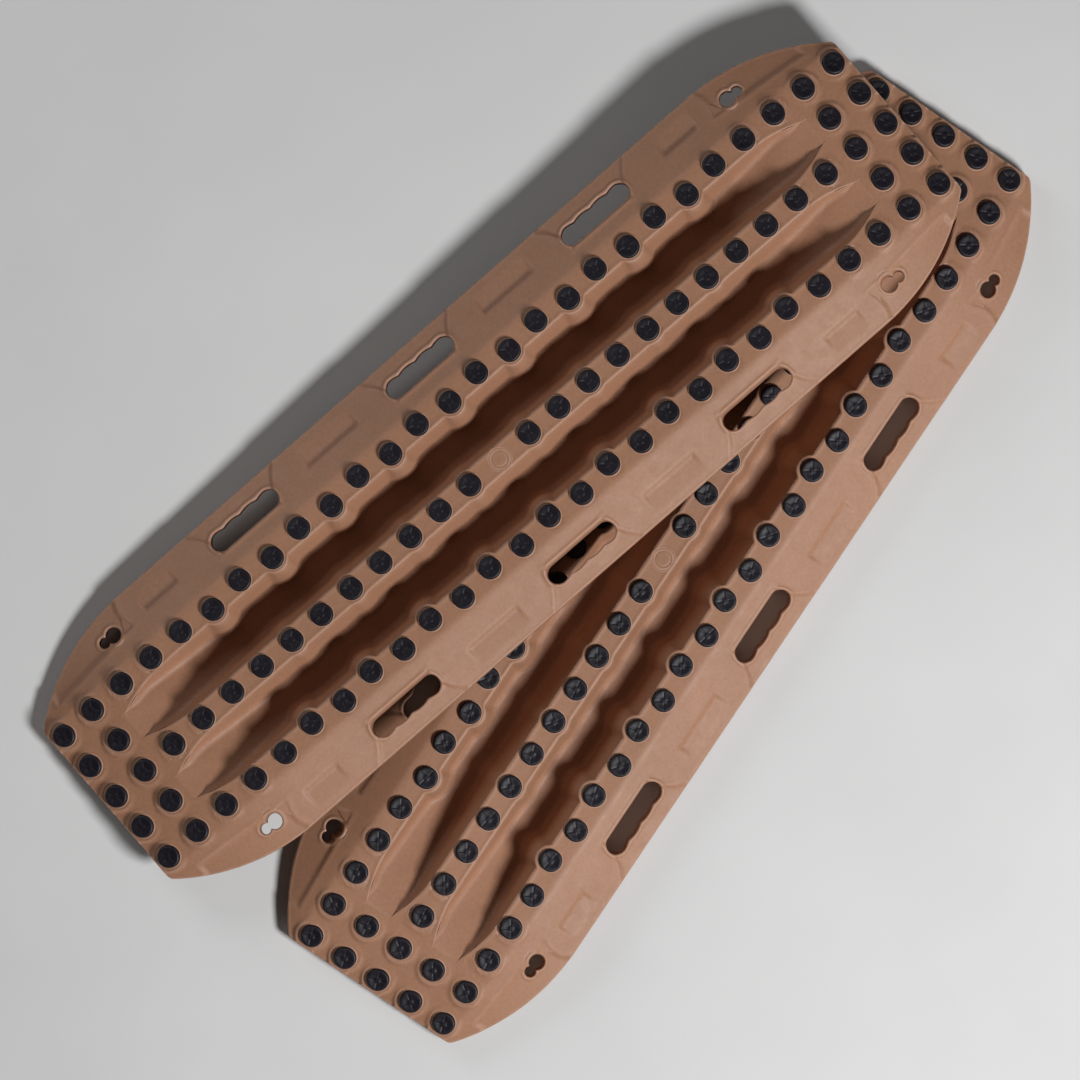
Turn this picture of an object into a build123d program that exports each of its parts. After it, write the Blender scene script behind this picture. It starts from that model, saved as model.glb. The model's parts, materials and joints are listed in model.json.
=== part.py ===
from build123d import *
from math import atan, atan2, cos, degrees, hypot, radians, sin, sqrt, tan
import os

# Two tire traction boards, one flat on the ground and the other dropped across it.
# Millimetres. +X runs along the lower board, +Z is up, and the origin is the centre
# of the lower board's underside.

# Overall sizes of one board
board_length = 1160
board_width = 332
ridge_height = 54
tip_width = 215
tip_corner_radius = 8

# Plan outline
shoulder_start = 0.361 * board_length

# End ramps: the top surface bends down on a circle at both ends
ramp_start = 0.3405 * board_length
ramp_drop = 0.63 * ridge_height
ramp_run = board_length / 2 - ramp_start
ramp_radius = (ramp_run**2 + ramp_drop**2) / (2 * ramp_drop)

# Walls
wall = 4
rib_thickness = 3
panel_thickness = 4
ground_bar_depth = 1.5

# Cross-section
flange_start = 0.313 * board_width
flange_drop = 26
flange_underside = 12
keel_half_width = 0.3315 * board_width

# Teeth
teeth_each_way = 13
tooth_radius = 12.5
tooth_height = 6
tooth_socket_depth = 8
tooth_clearance = 0.3
cup_wall = 3
last_tooth_margin = 15.8
outer_row = 0.2666 * board_width
zigzag_step = 5.2
zigzag_last = 8
end_row = outer_row / 2
seat_tilt_share = 0.7
pad_radius = tooth_radius + 4.9

# Tooth screws
screw_radius = 3
screw_clearance = 0.15
screw_head_radius = 5.5
screw_head_height = 3
screw_grip = 6

# Valleys
valley_inner = 15
valley_outer = 0.223 * board_width
valley_floor = 8
valley_wall_angle = 15
valley_end = 0.4293 * board_length
valley_full_depth = 0.2888 * board_length
valley_end_width = 34
valley_flare = 58
post_flare = 0.27

# Handles
handle_spacing = 0.2216 * board_length
handle_row = board_width / 2 - 30
slot_length = 94.5
slot_width = 24.5
finger_pitch = 24
finger_depth = 2.3
slot_rim = 4
pocket_depth = 2
pocket_edge_width = 150

# Shallow recesses between the handles
recess_depth = 2.2
recess_span = 21
long_recess = 73
short_recess = 49

# Keyholes
keyhole_u = 0.3883 * board_length
keyhole_row = board_width / 2 - 30
keyhole_large = 9.6
keyhole_small = 6.9
keyhole_step = 12.8
keyhole_rim = 4

# Base panel fixing
boss_radius = 5.5
panel_screw_radius = 2
panel_screw_head = 4
panel_screw_grip = 9
ground_bar_width = 12

# Where the deck is divided into simpler pieces, along ribs and the feet of the valley walls
end_joint = 11.5
ridge_joint = 30.5
rail_joint = 53
end_rail_joint = 0.75 * outer_row

# How the upper board lies across the lower one
crossing_angle = -14.84
crossing_x = -9.2
crossing_y = 208
resting_gap = 0.3

tooth_pitch = (board_length / 2 - last_tooth_margin) / teeth_each_way
flange_slope = flange_drop / (board_width / 2 - flange_start)
tall = 2 * ridge_height


def ridge_z(u):
    """Height of the ridge tops at distance u along the board."""
    past = max(0, abs(u) - ramp_start)
    return ridge_height - ramp_radius + sqrt(ramp_radius**2 - past**2)


def ramp_angle(u):
    """Slope of the ridge tops at u, in degrees, down towards the nearer tip."""
    past = max(0, abs(u) - ramp_start)
    return degrees(atan2(past, sqrt(ramp_radius**2 - past**2)))


def outline(inset):
    """Plan outline of a board, moved in by inset."""
    tip = (board_length / 2, tip_width / 2)
    start = (shoulder_start, board_width / 2)
    curve = TangentArc(start, tip, tangent=(1, 0))
    edges = Curve() + [
        Line((0, board_width / 2), start),
        curve,
        Line(tip, (board_length / 2, 0)),
    ]
    quarter = make_face(edges + [Line((board_length / 2, 0), (0, 0)), Line((0, 0), (0, board_width / 2))])
    half = quarter + mirror(quarter, Plane.XZ)
    whole = half + mirror(half, Plane.YZ)
    corners = whole.vertices().filter_by(lambda v: abs(v.X) > board_length / 2 - 1)
    whole = fillet(corners, tip_corner_radius)
    if inset:
        whole = offset(whole, amount=-inset, kind=Kind.INTERSECTION)
    return whole


def prism(face, bottom, top):
    """A plan face extruded from one height to another."""
    return extrude(Pos(0, 0, bottom) * face, amount=top - bottom, dir=(0, 0, 1))


def surface_body(lowered):
    """Everything below the ridges and flanges, with the surface lowered."""
    reach = board_width / 2 + 10
    edge_z = ridge_height - flange_slope * (reach - flange_start) - lowered
    top_z = ridge_height - lowered
    section = Polyline(
        (-reach, -tall),
        (reach, -tall),
        (reach, edge_z),
        (flange_start, top_z),
        (-flange_start, top_z),
        (-reach, edge_z),
        close=True,
    )
    face = Plane.YZ * make_face(section)
    middle = extrude(face, amount=ramp_start, both=True)
    hinge = Axis((ramp_start, 0, ridge_height - ramp_radius), (0, 1, 0))
    end = revolve(Pos(ramp_start, 0, 0) * face, axis=hinge, revolution_arc=32)
    return middle + end + mirror(end, Plane.YZ)


def teeth_list():
    """Positions (u, v) of the teeth, by row."""
    rows = {"left": [], "centre": [], "right": [], "end": []}
    for i in range(-teeth_each_way, teeth_each_way + 1):
        u = i * tooth_pitch
        inner = i % 2 == 0 and abs(i) <= zigzag_last
        row = outer_row - zigzag_step if inner else outer_row
        rows["left"].append((u, row))
        rows["right"].append((u, -row))
        if i != 0:
            rows["centre"].append((u, 0))
        if abs(i) >= teeth_each_way - 1:
            rows["end"].append((u, end_row))
            rows["end"].append((u, -end_row))
    return rows


def seat(u, v):
    """Frame of a tooth's seat: on the surface, tilted part of the way with it."""
    side = 1 if u > 0 else -1
    slope = ramp_angle(u)
    tilt = seat_tilt_share * slope
    rise = pad_radius * tan(radians(slope - tilt))
    return Location((u, v, ridge_z(u) + rise), (0, side * tilt, 0))


def all_seats():
    """Seats of every tooth on a board."""
    return [seat(u, v) for row in teeth_list().values() for u, v in row]


def posts(inset):
    """Flared posts that stand in the valleys around the teeth next to them."""
    spots = []
    for i in range(-zigzag_last, zigzag_last + 1):
        if i % 2:
            spots.append((i * tooth_pitch, 0))
        else:
            spots.append((i * tooth_pitch, outer_row - zigzag_step))
            spots.append((i * tooth_pitch, zigzag_step - outer_row))
    lip_radius = pad_radius - inset
    low_radius = lip_radius + post_flare * ridge_height
    above_lip = 0.5 * lip_radius / post_flare
    post = Cone(
        low_radius, 0.5 * lip_radius, ridge_height + above_lip, align=(Align.CENTER, Align.CENTER, Align.MIN)
    )
    return [Pos(u, v, 0) * post for u, v in spots]


def valleys(inset):
    """The two long valleys, as solids to cut, grown by inset."""
    run = tan(radians(valley_wall_angle))
    side = inset / cos(radians(valley_wall_angle))
    floor = valley_floor - inset
    end = valley_end + inset
    head = ridge_height * 0.4
    section = Polyline(
        (valley_inner - side - run * head, ridge_height + head),
        (valley_outer + side + run * head, ridge_height + head),
        (valley_outer + side - run * (ridge_height - floor), floor),
        (valley_inner - side + run * (ridge_height - floor), floor),
        close=True,
    )
    channel = extrude(Plane.YZ * make_face(section), amount=end, both=True)
    end_z = ridge_z(valley_end) - inset
    profile = Polyline(
        (-end, end_z),
        (-valley_full_depth, floor),
        (valley_full_depth, floor),
        (end, end_z),
        (end, tall),
        (-end, tall),
        close=True,
    )
    keep = extrude(Plane.XZ * make_face(profile), amount=board_width / 2, both=True)
    middle = (valley_inner + valley_outer) / 2
    half_end = valley_end_width / 2 + inset
    half_wide = (valley_outer - valley_inner) / 2 + head
    flare_start = end - valley_flare
    plan = Polyline(
        (end, middle - half_end),
        (end, middle + half_end),
        (flare_start, middle + half_wide),
        (-flare_start, middle + half_wide),
        (-end, middle + half_end),
        (-end, middle - half_end),
        (-flare_start, middle - half_wide),
        (flare_start, middle - half_wide),
        close=True,
    )
    valley = channel & keep & prism(make_face(plan), 0, tall)
    return (valley + mirror(valley, Plane.XZ)) - posts(inset)


def both_edges(shape):
    """A shape on the +Y side of the board and its mirror image on the -Y side."""
    return [shape, mirror(shape, Plane.XZ)]


def slot_outline(grow):
    """Handle slot: a round-ended slot with a wavy finger grip on its outer side."""
    if grow:
        return SlotOverall(slot_length + 2 * grow, slot_width + 2 * grow)
    slot = SlotOverall(slot_length, slot_width)
    wave_radius = ((finger_pitch / 2) ** 2 + finger_depth**2) / (2 * finger_depth)
    strip = Pos(0, slot_width / 2 - finger_depth / 2) * Rectangle(slot_length, finger_depth)
    waves = [Pos((k - 1.5) * finger_pitch, slot_width / 2 - wave_radius) * Circle(wave_radius) for k in range(4)]
    return slot - (strip - waves)


def handle_places():
    """Centres of the handles on the +Y side."""
    return [(-handle_spacing, handle_row), (0, handle_row), (handle_spacing, handle_row)]


def handle_pocket():
    """Plan shape of the fan-shaped recess round a handle, about the handle's centre."""
    edge = board_width / 2 - handle_row + 5
    near = -slot_width / 2 - 2
    half_near = slot_length / 2 - 3
    half_edge = pocket_edge_width / 2
    right = ThreePointArc((half_near, near), (half_near + 9, near + 0.6 * (edge - near)), (half_edge, edge))
    left = mirror(right, Plane.YZ)
    lines = [Line((-half_near, near), (half_near, near)), Line((-half_edge, edge), (half_edge, edge))]
    return make_face(Curve() + [right, left] + lines)


def keyhole(grow):
    """Keyhole in the corner of a board: a large round lobe and a small one."""
    large = Pos(keyhole_u, keyhole_row) * Circle(keyhole_large + grow)
    small = Pos(keyhole_u + keyhole_step, keyhole_row) * Circle(keyhole_small + grow)
    return large + small


def keyhole_pocket():
    """Plan shape of the recess round a corner keyhole."""
    far = (keyhole_u + 97, keyhole_row - 19)
    near = (keyhole_u - 11, keyhole_row - 9)
    end = (keyhole_u - 35, board_width / 2 + 6)
    curve = ThreePointArc(near, (keyhole_u - 21, keyhole_row + 12), end)
    corner = (keyhole_u + 110, board_width / 2 + 6)
    return make_face(Curve() + [Line(far, near), curve, Line(end, corner), Line(corner, far)])


def corner_pair(shape):
    """A shape at the +X end and its mirror image at the -X end."""
    return [shape, mirror(shape, Plane.YZ)]


def recess(length, u):
    """A shallow recess that is deepest on its inner side and fades outwards."""
    inner_v = keyhole_row - 3
    inner_z = ridge_height - flange_slope * (inner_v - flange_start) - recess_depth
    outer_v = inner_v + recess_span + 3
    outer_z = ridge_height - flange_slope * (outer_v - flange_start)
    section = Polyline((inner_v, inner_z), (outer_v, outer_z), (outer_v, tall), (inner_v, tall), close=True)
    return Pos(u, 0, 0) * extrude(Plane.YZ * make_face(section), amount=length / 2, both=True)


def boss_spots():
    """Where the base panel is screwed up into the deck."""
    spots = []
    for i in (-10.5, -6.5, -2.5, 2.5, 6.5, 10.5):
        u = i * tooth_pitch
        for v in (-outer_row, 0, outer_row):
            spots.append((u, v))
    return spots


def hollow():
    """The space inside the deck, less its ribs, tooth cups and screw bosses."""
    inner = surface_body(wall) & prism(outline(wall), panel_thickness, tall)
    inner = inner - valleys(wall)
    keel_inner = keel_half_width - wall
    keel = inner & Box(board_length, 2 * keel_inner, 2 * tall)
    ribs = []
    for i in range(-teeth_each_way, teeth_each_way):
        ribs.append(Pos((i + 0.5) * tooth_pitch, 0, 0) * Box(rib_thickness, board_width, 2 * tall))
    for v in (-end_row, end_row):
        ribs.append(Pos(0, v, 0) * Box(2 * valley_end, rib_thickness, 2 * tall))
    cup_depth = tooth_socket_depth + cup_wall
    cup = Pos(0, 0, -cup_depth) * Cylinder(
        tooth_radius + tooth_clearance + cup_wall, cup_depth + wall, align=(Align.CENTER, Align.CENTER, Align.MIN)
    )
    cups = [place * cup for place in all_seats() + [seat(0, 0)]]
    boss = Cylinder(boss_radius, tall, align=(Align.CENTER, Align.CENTER, Align.MIN))
    bosses = [Pos(u, v, 0) * boss for u, v in boss_spots()]
    return keel - (ribs + cups + bosses)


def flange_hollow():
    """The open space under one flange, less its ribs and the rims of its holes."""
    reach = board_width / 2
    span = reach - keel_half_width
    block = Pos(0, keel_half_width + span / 2, 0) * Box(2 * valley_end, span, 2 * tall)
    inner = surface_body(wall) & prism(outline(wall), 0, tall)
    inner = inner & block
    ribs = []
    for i in range(-teeth_each_way, teeth_each_way + 1):
        ribs.append(Pos(i * tooth_pitch, 0, 0) * Box(rib_thickness, board_width, 2 * tall))
    rims = [Pos(u, v, 0) * extrude(slot_outline(slot_rim), amount=tall) for u, v in handle_places()]
    rims = rims + corner_pair(extrude(keyhole(keyhole_rim), amount=tall))
    return inner - (ribs + rims)


def deck():
    """The moulded body of a board, with its valleys, sockets, handles and keyholes."""
    solid = surface_body(0) & prism(outline(0), panel_thickness, tall)
    under = board_width / 2 - keel_half_width
    step = Pos(0, keel_half_width + under / 2, flange_underside / 2) * Box(
        board_length, under, flange_underside
    )
    solid = solid - both_edges(step)
    pad = Pos(0, 0, -wall) * Cylinder(pad_radius, wall, align=(Align.CENTER, Align.CENTER, Align.MIN))
    pads = [seat(u, v) * pad for row in teeth_list().values() for u, v in row if abs(u) > ramp_start]
    solid = solid + ((Part() + pads) & prism(outline(0), panel_thickness, tall))
    solid = solid - valleys(0)
    solid = solid - hollow()
    solid = solid - both_edges(flange_hollow())
    skin = surface_body(pocket_depth)
    pockets = [prism(Pos(u, v) * handle_pocket(), flange_underside, tall) for u, v in handle_places()]
    pockets = pockets + corner_pair(prism(keyhole_pocket(), flange_underside, tall))
    shallow = (Part() + pockets) - skin
    solid = solid - both_edges(shallow)
    recesses = [recess(long_recess, 0.5 * handle_spacing), recess(short_recess, 1.48 * handle_spacing)]
    for shape in recesses:
        for copy in corner_pair(shape):
            solid = solid - both_edges(copy)
    slots = [Pos(u, v) * extrude(slot_outline(0), amount=tall) for u, v in handle_places()]
    for shape in slots + corner_pair(extrude(keyhole(0), amount=tall)):
        solid = solid - both_edges(shape)
    socket = Pos(0, 0, -tooth_socket_depth) * Cylinder(
        tooth_radius + tooth_clearance, tall, align=(Align.CENTER, Align.CENTER, Align.MIN)
    )
    drill = Cylinder(screw_radius + screw_clearance, tall)
    bore = socket + drill
    limit = Pos(0, 0, -tooth_socket_depth - cup_wall - 1) * Cylinder(
        tooth_radius + 1, tall, align=(Align.CENTER, Align.CENTER, Align.MIN)
    )
    bore = bore & limit
    solid = solid - [place * bore for place in all_seats() + [seat(0, 0)]]
    pilot = Pos(0, 0, panel_thickness) * Cylinder(
        panel_screw_radius + screw_clearance,
        panel_screw_grip + 1,
        align=(Align.CENTER, Align.CENTER, Align.MIN),
    )
    return solid - [Pos(u, v, 0) * pilot for u, v in boss_spots()]


def deck_pieces():
    """The deck, divided so that each piece is a simple shape beside the valleys."""
    whole = deck()
    end = end_joint * tooth_pitch
    half_length = board_length / 2 + 1
    half_width = board_width / 2 + 1
    floor = valley_full_depth

    def region(u_low, u_high, v_low, v_high):
        middle = Pos((u_low + u_high) / 2, (v_low + v_high) / 2, 0)
        return middle * Box(u_high - u_low, v_high - v_low, 2 * tall)

    rail = region(-end, end, rail_joint, half_width)
    rail = rail + region(end, half_length, end_rail_joint, half_width)
    rail = rail + region(-half_length, -end, end_rail_joint, half_width)
    floors = []
    for side in (-1, 1):
        v_low, v_high = sorted((side * ridge_joint, side * rail_joint))
        for u_low, u_high in ((-end, -floor), (-floor, floor), (floor, end)):
            floors.append(whole & region(u_low, u_high, v_low, v_high))
    ends = [
        whole & region(end, half_length, -end_rail_joint, end_rail_joint),
        whole & region(-half_length, -end, -end_rail_joint, end_rail_joint),
    ]
    return {
        "rail_left": [whole & rail],
        "rail_right": [whole & mirror(rail, Plane.XZ)],
        "centre_ridge": [whole & region(-end, end, -ridge_joint, ridge_joint)],
        "valley_floors": floors,
        "end_plates": ends,
    }


def tooth():
    """A tooth about its seat: a round stud with a dished top, crossed grooves and a screw hole."""
    body = Pos(0, 0, -tooth_socket_depth) * Cylinder(
        tooth_radius, tooth_socket_depth + tooth_height, align=(Align.CENTER, Align.CENTER, Align.MIN)
    )
    body = chamfer(body.edges().sort_by(Axis.Z)[-1], 1.2)
    dish_depth = 0.8
    rim = tooth_radius - 2.2
    ball = (rim**2 + dish_depth**2) / (2 * dish_depth)
    body = body - Pos(0, 0, tooth_height + ball - dish_depth) * Sphere(ball)
    for angle in (90, 210, 330):
        groove = Pos(tooth_radius / 2, 0, tooth_height) * Box(tooth_radius + 2, 1.6, 4)
        body = body - Rot(0, 0, angle) * groove
    hole = Pos(0, 0, -tooth_socket_depth) * Cylinder(
        screw_radius + screw_clearance, screw_grip + 0.5, align=(Align.CENTER, Align.CENTER, Align.MIN)
    )
    return body - hole


def tooth_screw():
    """The screw that holds a tooth down into its cup, about the tooth's seat."""
    under = -tooth_socket_depth - cup_wall
    shank = Pos(0, 0, under) * Cylinder(
        screw_radius, cup_wall + screw_grip, align=(Align.CENTER, Align.CENTER, Align.MIN)
    )
    head = Pos(0, 0, under - screw_head_height) * Cylinder(
        screw_head_radius, screw_head_height, align=(Align.CENTER, Align.CENTER, Align.MIN)
    )
    head = fillet(head.edges().sort_by(Axis.Z)[0], 1)
    key = Pos(0, 0, under - screw_head_height) * extrude(RegularPolygon(2.3, 6), amount=1.8)
    return head + shank - key


def centre_plug():
    """The blank disc that fills the middle socket, with a ring groove in its face."""
    plug = Pos(0, 0, -tooth_socket_depth) * Cylinder(
        tooth_radius, tooth_socket_depth + 0.6, align=(Align.CENTER, Align.CENTER, Align.MIN)
    )
    plug = chamfer(plug.edges().sort_by(Axis.Z)[-1], 0.5)
    ring = Circle(tooth_radius - 3.2) - Circle(tooth_radius - 4.4)
    groove = Pos(0, 0, -0.6) * extrude(ring, amount=2)
    stem = Pos(0, 0, -tooth_socket_depth - cup_wall - 1.5) * Cylinder(
        screw_radius, cup_wall + 2, align=(Align.CENTER, Align.CENTER, Align.MIN)
    )
    return plug + stem - groove


def panel_screw():
    """Countersunk screw that holds the base panel, about a point on the ground plane."""
    low = ground_bar_depth
    head = Pos(0, 0, low) * Cone(
        panel_screw_head,
        panel_screw_radius,
        panel_screw_head - panel_screw_radius,
        align=(Align.CENTER, Align.CENTER, Align.MIN),
    )
    shank = Pos(0, 0, low) * Cylinder(
        panel_screw_radius,
        panel_thickness - low + panel_screw_grip,
        align=(Align.CENTER, Align.CENTER, Align.MIN),
    )
    key = Pos(0, 0, low) * extrude(RegularPolygon(1.4, 6), amount=1.2)
    return head + shank - key


def base_panel():
    """The flat panel that closes the underside, with bars across it for grip."""
    plan = outline(1) & Rectangle(board_length, 2 * keel_half_width)
    panel = prism(plan, ground_bar_depth, panel_thickness)
    bars = []
    bar_pitch = tooth_pitch / 2
    for i in range(-2 * teeth_each_way, 2 * teeth_each_way + 1):
        if i % 2 == 0:
            bars.append(Pos(i * bar_pitch, 0) * Rectangle(ground_bar_width, board_width))
        else:
            for v in (-0.5 * outer_row, 0.5 * outer_row):
                bars.append(Pos(i * bar_pitch, v) * Rectangle(ground_bar_width, 0.6 * outer_row))
    grip = (Sketch() + bars) & plan
    panel = panel + prism(grip, 0, ground_bar_depth)
    sink = Pos(0, 0, ground_bar_depth) * Cone(
        panel_screw_head + screw_clearance,
        panel_screw_radius + screw_clearance,
        panel_screw_head - panel_screw_radius,
        align=(Align.CENTER, Align.CENTER, Align.MIN),
    )
    hole = sink + Cylinder(panel_screw_radius + screw_clearance, tall)
    mouth = Cylinder(panel_screw_head + 1, 2 * ground_bar_depth)
    cut = hole + mouth
    return panel - [Pos(u, v, 0) * cut for u, v in boss_spots()]


def board_parts():
    """Every piece of one board, in the board's own frame."""
    rows = teeth_list()
    one_tooth = tooth()
    one_screw = tooth_screw()
    one_panel_screw = panel_screw()
    parts = deck_pieces() | {
        "base_panel": [base_panel()],
        "panel_screws": [Pos(u, v, 0) * one_panel_screw for u, v in boss_spots()],
        "centre_plug": [seat(0, 0) * centre_plug()],
    }
    for name, spots in rows.items():
        parts["teeth_" + name] = [seat(u, v) * one_tooth for u, v in spots]
        parts["tooth_screws_" + name] = [seat(u, v) * one_screw for u, v in spots]
    return parts


def lean():
    """Where the upper board comes to rest: the tilt at which its centre lies lowest.

    It lies on the ground or on the lower board's tooth tops, whichever it meets."""
    turn = radians(crossing_angle)
    supports = []
    for row in teeth_list().values():
        for u, v in row:
            top = ridge_z(u) + tooth_height
            dx = u - crossing_x
            dy = v - crossing_y
            along = dx * cos(turn) + dy * sin(turn)
            across = dy * cos(turn) - dx * sin(turn)
            if abs(along) > board_length / 2 or abs(across) > board_width / 2:
                continue
            if abs(across) > keel_half_width + tooth_radius:
                top = top - flange_underside
            supports.append((along, across, top + resting_gap, tooth_radius))
    for along in (-board_length / 2, board_length / 2):
        for across in (-tip_width / 2, tip_width / 2):
            supports.append((along, across, resting_gap, 0))
    run = board_length / 2 - shoulder_start
    fall = (board_width - tip_width) / 2
    shoulder_radius = (run**2 + fall**2) / (2 * fall)
    beyond = sqrt(shoulder_radius**2 - (shoulder_radius - board_width / 2 + keel_half_width) ** 2)
    keel_end = min(shoulder_start + beyond, board_length / 2)
    for along in (-keel_end, keel_end):
        for across in (-keel_half_width, keel_half_width):
            supports.append((along, across, resting_gap, 0))

    def height(a, b):
        steep = hypot(a, b)
        return max(z + r * steep - a * x - b * y for x, y, z, r in supports)

    def best(low, high, score):
        for _ in range(60):
            third = (high - low) / 3
            if score(low + third) < score(high - third):
                high = high - third
            else:
                low = low + third
        return (low + high) / 2

    pitch_slope = best(-0.3, 0.3, lambda a: height(a, best(-0.3, 0.3, lambda b: height(a, b))))
    roll_slope = best(-0.3, 0.3, lambda b: height(pitch_slope, b))
    return pitch_slope, roll_slope, height(pitch_slope, roll_slope)


def upper_place():
    """Location of the upper board's frame: across the lower board and leaning on it."""
    along, across, height = lean()
    roll = degrees(atan(across * cos(atan(along))))
    pitch = -degrees(atan(along))
    level = Location((crossing_x, crossing_y, height), (0, 0, crossing_angle))
    return level * Location((0, 0, 0), (0, pitch, 0)) * Location((0, 0, 0), (roll, 0, 0))


def write(name, shapes, place):
    """One node's file, as a group of its separate solids."""
    solids = [solid for shape in shapes for solid in (place * shape).solids()]
    group = solids[0] if len(solids) == 1 else Compound(children=solids)
    export_step(group, "parts/" + name + ".step")


os.makedirs("parts", exist_ok=True)
pieces = board_parts()
above = upper_place()
for label, shapes in pieces.items():
    write("lower_" + label, shapes, Location())
    write("upper_" + label, shapes, above)
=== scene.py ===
import json
import math

import bpy
import numpy as np
from mathutils import Matrix, Vector


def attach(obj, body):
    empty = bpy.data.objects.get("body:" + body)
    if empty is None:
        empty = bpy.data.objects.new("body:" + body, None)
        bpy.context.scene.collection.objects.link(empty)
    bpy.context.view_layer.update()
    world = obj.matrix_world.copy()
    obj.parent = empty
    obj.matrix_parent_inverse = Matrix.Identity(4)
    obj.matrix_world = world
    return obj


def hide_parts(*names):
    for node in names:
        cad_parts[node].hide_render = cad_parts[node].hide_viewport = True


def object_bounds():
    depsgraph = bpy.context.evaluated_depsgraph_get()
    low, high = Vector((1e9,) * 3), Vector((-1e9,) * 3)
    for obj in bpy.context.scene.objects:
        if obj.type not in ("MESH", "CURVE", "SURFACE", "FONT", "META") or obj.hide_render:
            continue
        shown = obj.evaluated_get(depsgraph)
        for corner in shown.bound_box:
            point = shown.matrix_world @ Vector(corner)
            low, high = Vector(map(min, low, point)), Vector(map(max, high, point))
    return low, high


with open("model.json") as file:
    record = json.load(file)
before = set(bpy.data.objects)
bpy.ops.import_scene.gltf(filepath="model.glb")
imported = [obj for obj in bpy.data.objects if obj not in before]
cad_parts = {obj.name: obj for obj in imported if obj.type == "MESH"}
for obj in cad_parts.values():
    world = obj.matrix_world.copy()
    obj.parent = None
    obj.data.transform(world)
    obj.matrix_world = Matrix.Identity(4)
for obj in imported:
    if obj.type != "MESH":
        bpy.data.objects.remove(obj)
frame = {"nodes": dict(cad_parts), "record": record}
cad_low, cad_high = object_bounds()

# Sizes of one board in millimetres, in its own frame: u along it, v across it, z up.
LENGTH = 1160.0
WIDTH = 332.0
RIDGE = 54.0
TIP_WIDTH = 215.0
TIP_CORNER = 8.0
SHOULDER_START = 0.361 * LENGTH
RAMP_START = 0.3405 * LENGTH
RAMP_DROP = 0.63 * RIDGE
RAMP_RUN = LENGTH / 2 - RAMP_START
RAMP_RADIUS = (RAMP_RUN**2 + RAMP_DROP**2) / (2 * RAMP_DROP)
FLANGE_START = 0.313 * WIDTH
FLANGE_SLOPE = 26.0 / (WIDTH / 2 - FLANGE_START)
FLANGE_BEND = 2.4
FLANGE_UNDERSIDE = 12.0
KEEL_HALF = 0.3315 * WIDTH
PANEL = 4.0

TEETH = 13
TOOTH_R = 12.5
TOOTH_H = 6.0
LAST_MARGIN = 15.8
PITCH = (LENGTH / 2 - LAST_MARGIN) / TEETH
OUTER_ROW = 0.2666 * WIDTH
ZIGZAG = 5.2
ZIGZAG_LAST = 8
END_ROW = OUTER_ROW / 2
PAD_R = TOOTH_R + 4.9
PAD_GAP = 0.3
PAD_BLEND = 2.6
TILT_SHARE = 0.7

VALLEY_IN = 15.0
VALLEY_OUT = 0.223 * WIDTH
VALLEY_FLOOR = 8.0
VALLEY_RUN = math.tan(math.radians(15))
VALLEY_END = 0.4293 * LENGTH
VALLEY_DEEP = 0.2888 * LENGTH
VALLEY_END_W = 34.0
VALLEY_FLARE = 122.0
POST_FLARE = 0.27

HANDLE_STEP = 0.2216 * LENGTH
HANDLE_ROW = WIDTH / 2 - 30
SLOT_L = 94.5
SLOT_W = 24.5
FINGER_PITCH = 24.0
FINGER_DEPTH = 2.3
KEY_U = 0.3883 * LENGTH
KEY_BIG = 9.6
KEY_SMALL = 6.9
KEY_STEP = 12.8

POCKET = 2.0
POCKET_MARGIN = 2.0
POCKET_EDGE = 35.0
POCKET_HALF = 75.0
POCKET_SHALLOWER = 1.2
KEY_POCKET_REACH = 97.0
KEY_POCKET_START = 380.0
RECESS = 2.2
RECESS_W = 24.0
RECESSES = ((0.5 * HANDLE_STEP, 73.0), (1.48 * HANDLE_STEP, 49.0))
# The skin is cut this much deeper in the pockets, to lie on the CAD's floors.
DEEPER = 0.35

# The skin lies this far outside the CAD surface, so that its rounded edges cover the sharp ones.
SKIN = 0.6
EDGE_R = 2.4
EDGE_TUCK = 1.2

# How finely the skin is divided.
COLUMNS_PER_PITCH = 18
COLUMNS_PAST_TEETH = 5
FLANGE_ROWS = 24
PLATE_ROWS = 7
WALL_STEPS = 6
EDGE_STEPS = 4

# Distance from a valley's edge and height over the ridge, along the valley's rounded lip.
LIP = (
    (7.0, 0.0), (5.6, 0.1), (4.4, 0.3), (3.3, 0.42),
    (2.3, 0.3), (1.4, -0.1), (0.6, -0.75), (0.1, -1.9),
)
LIP_REACH = LIP[0][0]
# Radius and angles of the bend at the foot of a valley's wall.
FOOT_R = 9.0
FOOT_BENDS = [math.radians(a) for a in (26, 50, 71, 90)]
# Distance out from a hole's wall and drop below the surface, along its rounded rim.
HOLE_RIM = (
    (5.0, 0.0), (4.1, -0.3), (3.2, -0.7), (2.2, -0.85),
    (1.3, -0.6), (0.6, 0.05), (0.15, 0.9), (0.0, 2.0),
)
# A hole's lining ends this far below the flange.
HOLE_TUCK = 0.1
# How far the patch round a hole reaches: back, on along the board, and to either side.
SLOT_PATCH = (60.0, 60.0, 18.5)
KEY_PATCH = (17.0, 29.0, 14.0)

# Radius and height over the seat, along the ring round a tooth's socket and across the plug.
SOCKET_RING = ((12.62, -0.5), (12.64, 0.9), (12.85, 1.25), (13.3, 1.3), (13.8, 1.0), (14.6, 0.4))
PLUG_PROFILE = (
    (3.2, 0.95), (6.0, 0.95), (7.7, 0.92), (8.2, 0.75), (8.6, 0.4), (9.1, 0.4),
    (9.5, 0.75), (10.0, 0.92), (11.6, 0.9), (12.2, 0.65), (12.45, 0.2), (12.6, -0.5),
    (12.62, -0.6), (12.64, 0.5), (12.9, 0.95), (13.4, 1.05), (14.0, 0.85), (15.0, 0.4),
)
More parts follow.
